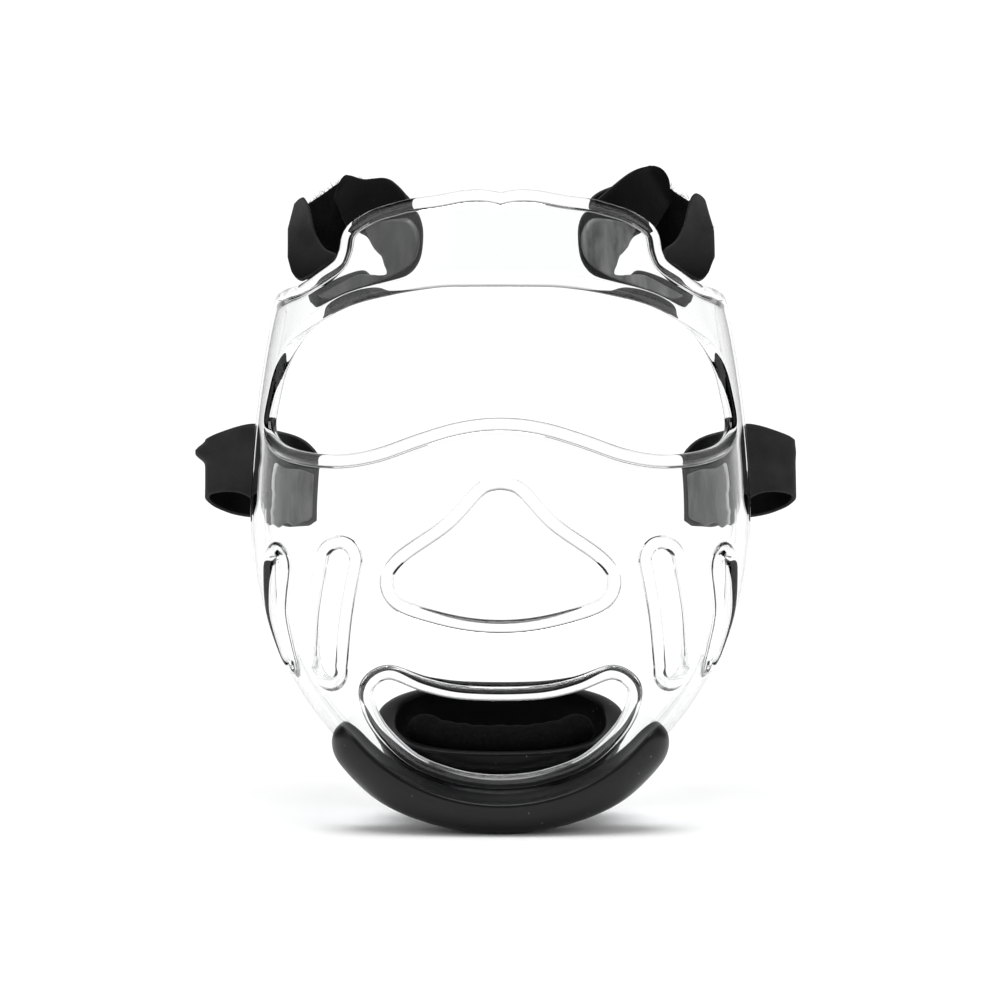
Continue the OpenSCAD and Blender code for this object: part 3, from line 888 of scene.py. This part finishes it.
def chin_pad(name, span, low, high, off, seed):
    """A pad of glue along the chin, between two reaches that change from one side to the other."""
    u = np.radians(-90 + np.linspace(span, -span, 60))[:, None] + np.zeros((1, 9))
    k = np.linspace(1, -1, 60)[:, None]
    w = np.linspace(0, 1, 9)[None]
    reach = np.zeros((60, 9)) + mix(low(k), high(k), w)
    return slab(name, uneven(skin(u, reach, off), 0.1 * MM, seed), 0.42 * MM)


pad = chin_pad("bumper_adhesive", 39, lambda k: 0.625 - 0.01 * k ** 4, lambda k: 0.775 - 0.075 * k ** 2,
               1.75 * MM, 3)
finish(pad, glue, "adhesive", "bumper_glue")
pad = chin_pad("cup_adhesive", 20, lambda k: 0.7, lambda k: 0.8, -2.0 * MM, 4)
finish(pad, glue, "adhesive", "cup_glue")

PETALS = {"right": PETAL_OUT,
          "left": [[69.6, 238], [69.4, 246.4], [66.4, 251.2], [60.6, 252.4], [52.6, 249.4], [43.4, 242.4],
                   [36, 235.8]] + PETAL_OUT[7:]}


def before_fold(grid):
    """The grid brought forward where it would pass through the folded strap behind it."""
    x, distance = np.array(brow_fold())[:7, :2].T * MM
    wall = APEX_BACK + np.interp(grid[..., 0], x, distance)
    wall += (grid[..., 2] - BROW_LEVEL * MM) * LEANING[1] / LEANING[2] - 2.6 * MM
    above = grid[..., 2] > BROW_LEVEL * MM
    grid[..., 1] = np.where(above, np.minimum(grid[..., 1], wall), grid[..., 1])
    return grid


def add_straps(side, hand):
    """The brow and temple straps of one side, with their glue: side is 1 on the wearer's left."""
    seed = 10 + side
    shape = before_fold(on_shell(strip(PETALS[hand], PETAL_IN, 12), -(TAPE_DEPTH * MM + TAPE / 2)))
    band = slab(hand + "_brow_band", uneven(shape, 0.25 * MM, seed), TAPE, side,
                (tape_back, tape_back, tape_edge))
    finish(band, None, "strap_tape", hand + "_brow_anchor")
    patch = on_shell(strip(GLUE_OUT, GLUE_IN, 9), -GLUE_DEPTH)
    finish(slab(hand + "_brow_adhesive", patch, GLUE_THICK, side), brow_glue[hand], "adhesive",
           hand + "_brow_glue")
    ear = uneven(wall_grid(brow_fold() + BROW_TAILS[hand], BROW_LEVEL, 16, taper=0.003), 0.6 * MM, seed + 3)
    loop = slab(hand + "_brow_loop", ear, TAPE, side, (tape_pile, tape_tail, tape_edge))
    finish(loop, None, "strap_tape", hand + "_brow_strap", hand + "_brow_tail", body=None)
    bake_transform(loop)
    fibres = pile(hand + "_brow_pile", ear[14:44], 900, 3.4 * MM, seed + 8, side)
    finish(fibres, tape_pile, "strap_tape", body=hand + "_brow_strap")

    shape = uneven(temple_band(), 0.2 * MM, seed + 5)
    band = slab(hand + "_temple_band", shape, TAPE, side, (tape_back, tape_back, tape_edge))
    finish(band, None, "strap_tape", hand + "_temple_anchor")
    finish(slab(hand + "_temple_adhesive", temple_patch(0.467, 0.655, 16), GLUE_THICK, side), glue,
           "adhesive", hand + "_temple_glue")
    finish(slab(hand + "_temple_glue_line", temple_patch(0.671, 0.68, 4), 1.2 * MM, side), dried_glue,
           "adhesive")
    ear = wall_grid(TEMPLE_LOOP + TEMPLE_TAIL, TEMPLE_LEVEL, 22)
    above = (ear[..., 2] - TEMPLE_LEVEL * MM) / MM
    corner = np.exp(-((above - 6.8) / 2.6) ** 2) * ramp((ear[..., 0] / MM - 111) / 5)
    ear[..., 0] += TEMPLE_TABS[hand] * MM * corner
    ear = uneven(ear, 0.5 * MM, seed + 6)
    loop = slab(hand + "_temple_loop", ear, TAPE, side, (tape_face, tape_pile, tape_edge))
    finish(loop, None, "strap_tape", hand + "_temple_strap", hand + "_temple_tail", body=None)
    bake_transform(loop)


for side, hand in ((1, "left"), (-1, "right")):
    add_straps(side, hand)

# ---- Floor, light and camera ----

TARGET = Vector((0, APEX_BACK + 55 * MM, 121.5 * MM))
DISTANCE = 1.45
TILT = math.radians(3)

floor = new_mesh("floor", [(-6, -6, 0), (6, -6, 0), (6, 6, 0), (-6, 6, 0)], [(0, 1, 2, 3)])
floor_mat, tree, shader = material("pale_floor")
shader.inputs["Base Color"].default_value = (0.965, 0.965, 0.965, 1)
shader.inputs["Roughness"].default_value = 1.0
shader.inputs["Specular IOR Level"].default_value = 0.0
floor.data.materials.append(floor_mat)


# What the surfaces mirror, as (direction, cosine at its edge, brightness): two windows and a backdrop
MIRRORED = (((-0.75, -0.5, 0.45), 0.80, 0.9), ((0.8, -0.35, 0.5), 0.84, 0.5), ((0.05, 0.95, 0.3), 0.66, 0.7))


def mirrored_light(tree, direction):
    """How bright the room is to a surface that mirrors it: dim, with two windows and a backdrop."""
    glow = 0.0
    for aim, wide, level in MIRRORED:
        dot = tree.nodes.new("ShaderNodeVectorMath")
        dot.operation = "DOT_PRODUCT"
        dot.inputs[1].default_value = Vector(aim).normalized()
        tree.links.new(direction, dot.inputs[0])
        lit = ranged(tree, dot.outputs["Value"], 0, level, wide, wide + 0.12)
        glow = combine(tree, "MAXIMUM", glow, lit)
    return combine(tree, "ADD", glow, 0.015)


def studio():
    """A white room for what is seen directly or through the clear parts, and a dim one with soft
    windows for what is mirrored in the surfaces."""
    world = bpy.data.worlds.new("studio")
    bpy.context.scene.world = world
    world.use_nodes = True
    tree = world.node_tree
    white = tree.nodes["Background"]
    white.inputs["Color"].default_value = (1, 1, 1, 1)
    mirrored_room = tree.nodes.new("ShaderNodeBackground")
    direction = tree.nodes.new("ShaderNodeTexCoord").outputs["Generated"]
    tree.links.new(mirrored_light(tree, direction), mirrored_room.inputs["Strength"])
    path = tree.nodes.new("ShaderNodeLightPath").outputs
    split = tree.nodes.new("ShaderNodeSeparateXYZ")
    tree.links.new(direction, split.inputs[0])
    # A dim ceiling draws the clear edges, and the dark end of the room keeps the clear parts clear
    ceiling = ranged(tree, split.outputs["Z"], 0, 0.8, 0.35, 0.75)
    dark_end = ranged(tree, split.outputs["Y"], 0.85, 0, -0.6, -0.15)
    dim = combine(tree, "MULTIPLY", path["Is Transmission Ray"],
                  combine(tree, "MAXIMUM", ceiling, dark_end))
    # The floor is lit by the sun too, so the room gives it less
    less = combine(tree, "MULTIPLY", path["Is Diffuse Ray"], 0.42)
    level = combine(tree, "SUBTRACT", combine(tree, "SUBTRACT", 1.08, less), dim)
    tree.links.new(level, white.inputs["Strength"])
    only_mirrored = combine(tree, "SUBTRACT", path["Is Glossy Ray"], path["Is Transmission Ray"])
    joined = tree.nodes.new("ShaderNodeMixShader")
    tree.links.new(combine(tree, "MAXIMUM", only_mirrored, 0), joined.inputs[0])
    tree.links.new(white.outputs[0], joined.inputs[1])
    tree.links.new(mirrored_room.outputs[0], joined.inputs[2])
    tree.links.new(joined.outputs[0], tree.nodes["World Output"].inputs["Surface"])
    sun = bpy.data.objects.new("sun", bpy.data.lights.new("sun", "SUN"))
    sun.data.energy = 1.6
    sun.data.angle = math.radians(38)
    sun.rotation_euler = (math.radians(8), math.radians(-4), 0)
    bpy.context.scene.collection.objects.link(sun)


studio()

camera = bpy.data.objects.new("camera", bpy.data.cameras.new("camera"))
camera.data.lens = 135.4
camera.data.sensor_width = 36
camera.location = TARGET + Vector((0, -DISTANCE * math.cos(TILT), DISTANCE * math.sin(TILT)))
camera.rotation_euler = (math.pi / 2 - TILT, 0, 0)
bpy.context.scene.collection.objects.link(camera)
bpy.context.scene.camera = camera
bpy.context.scene.view_settings.view_transform = "Standard"
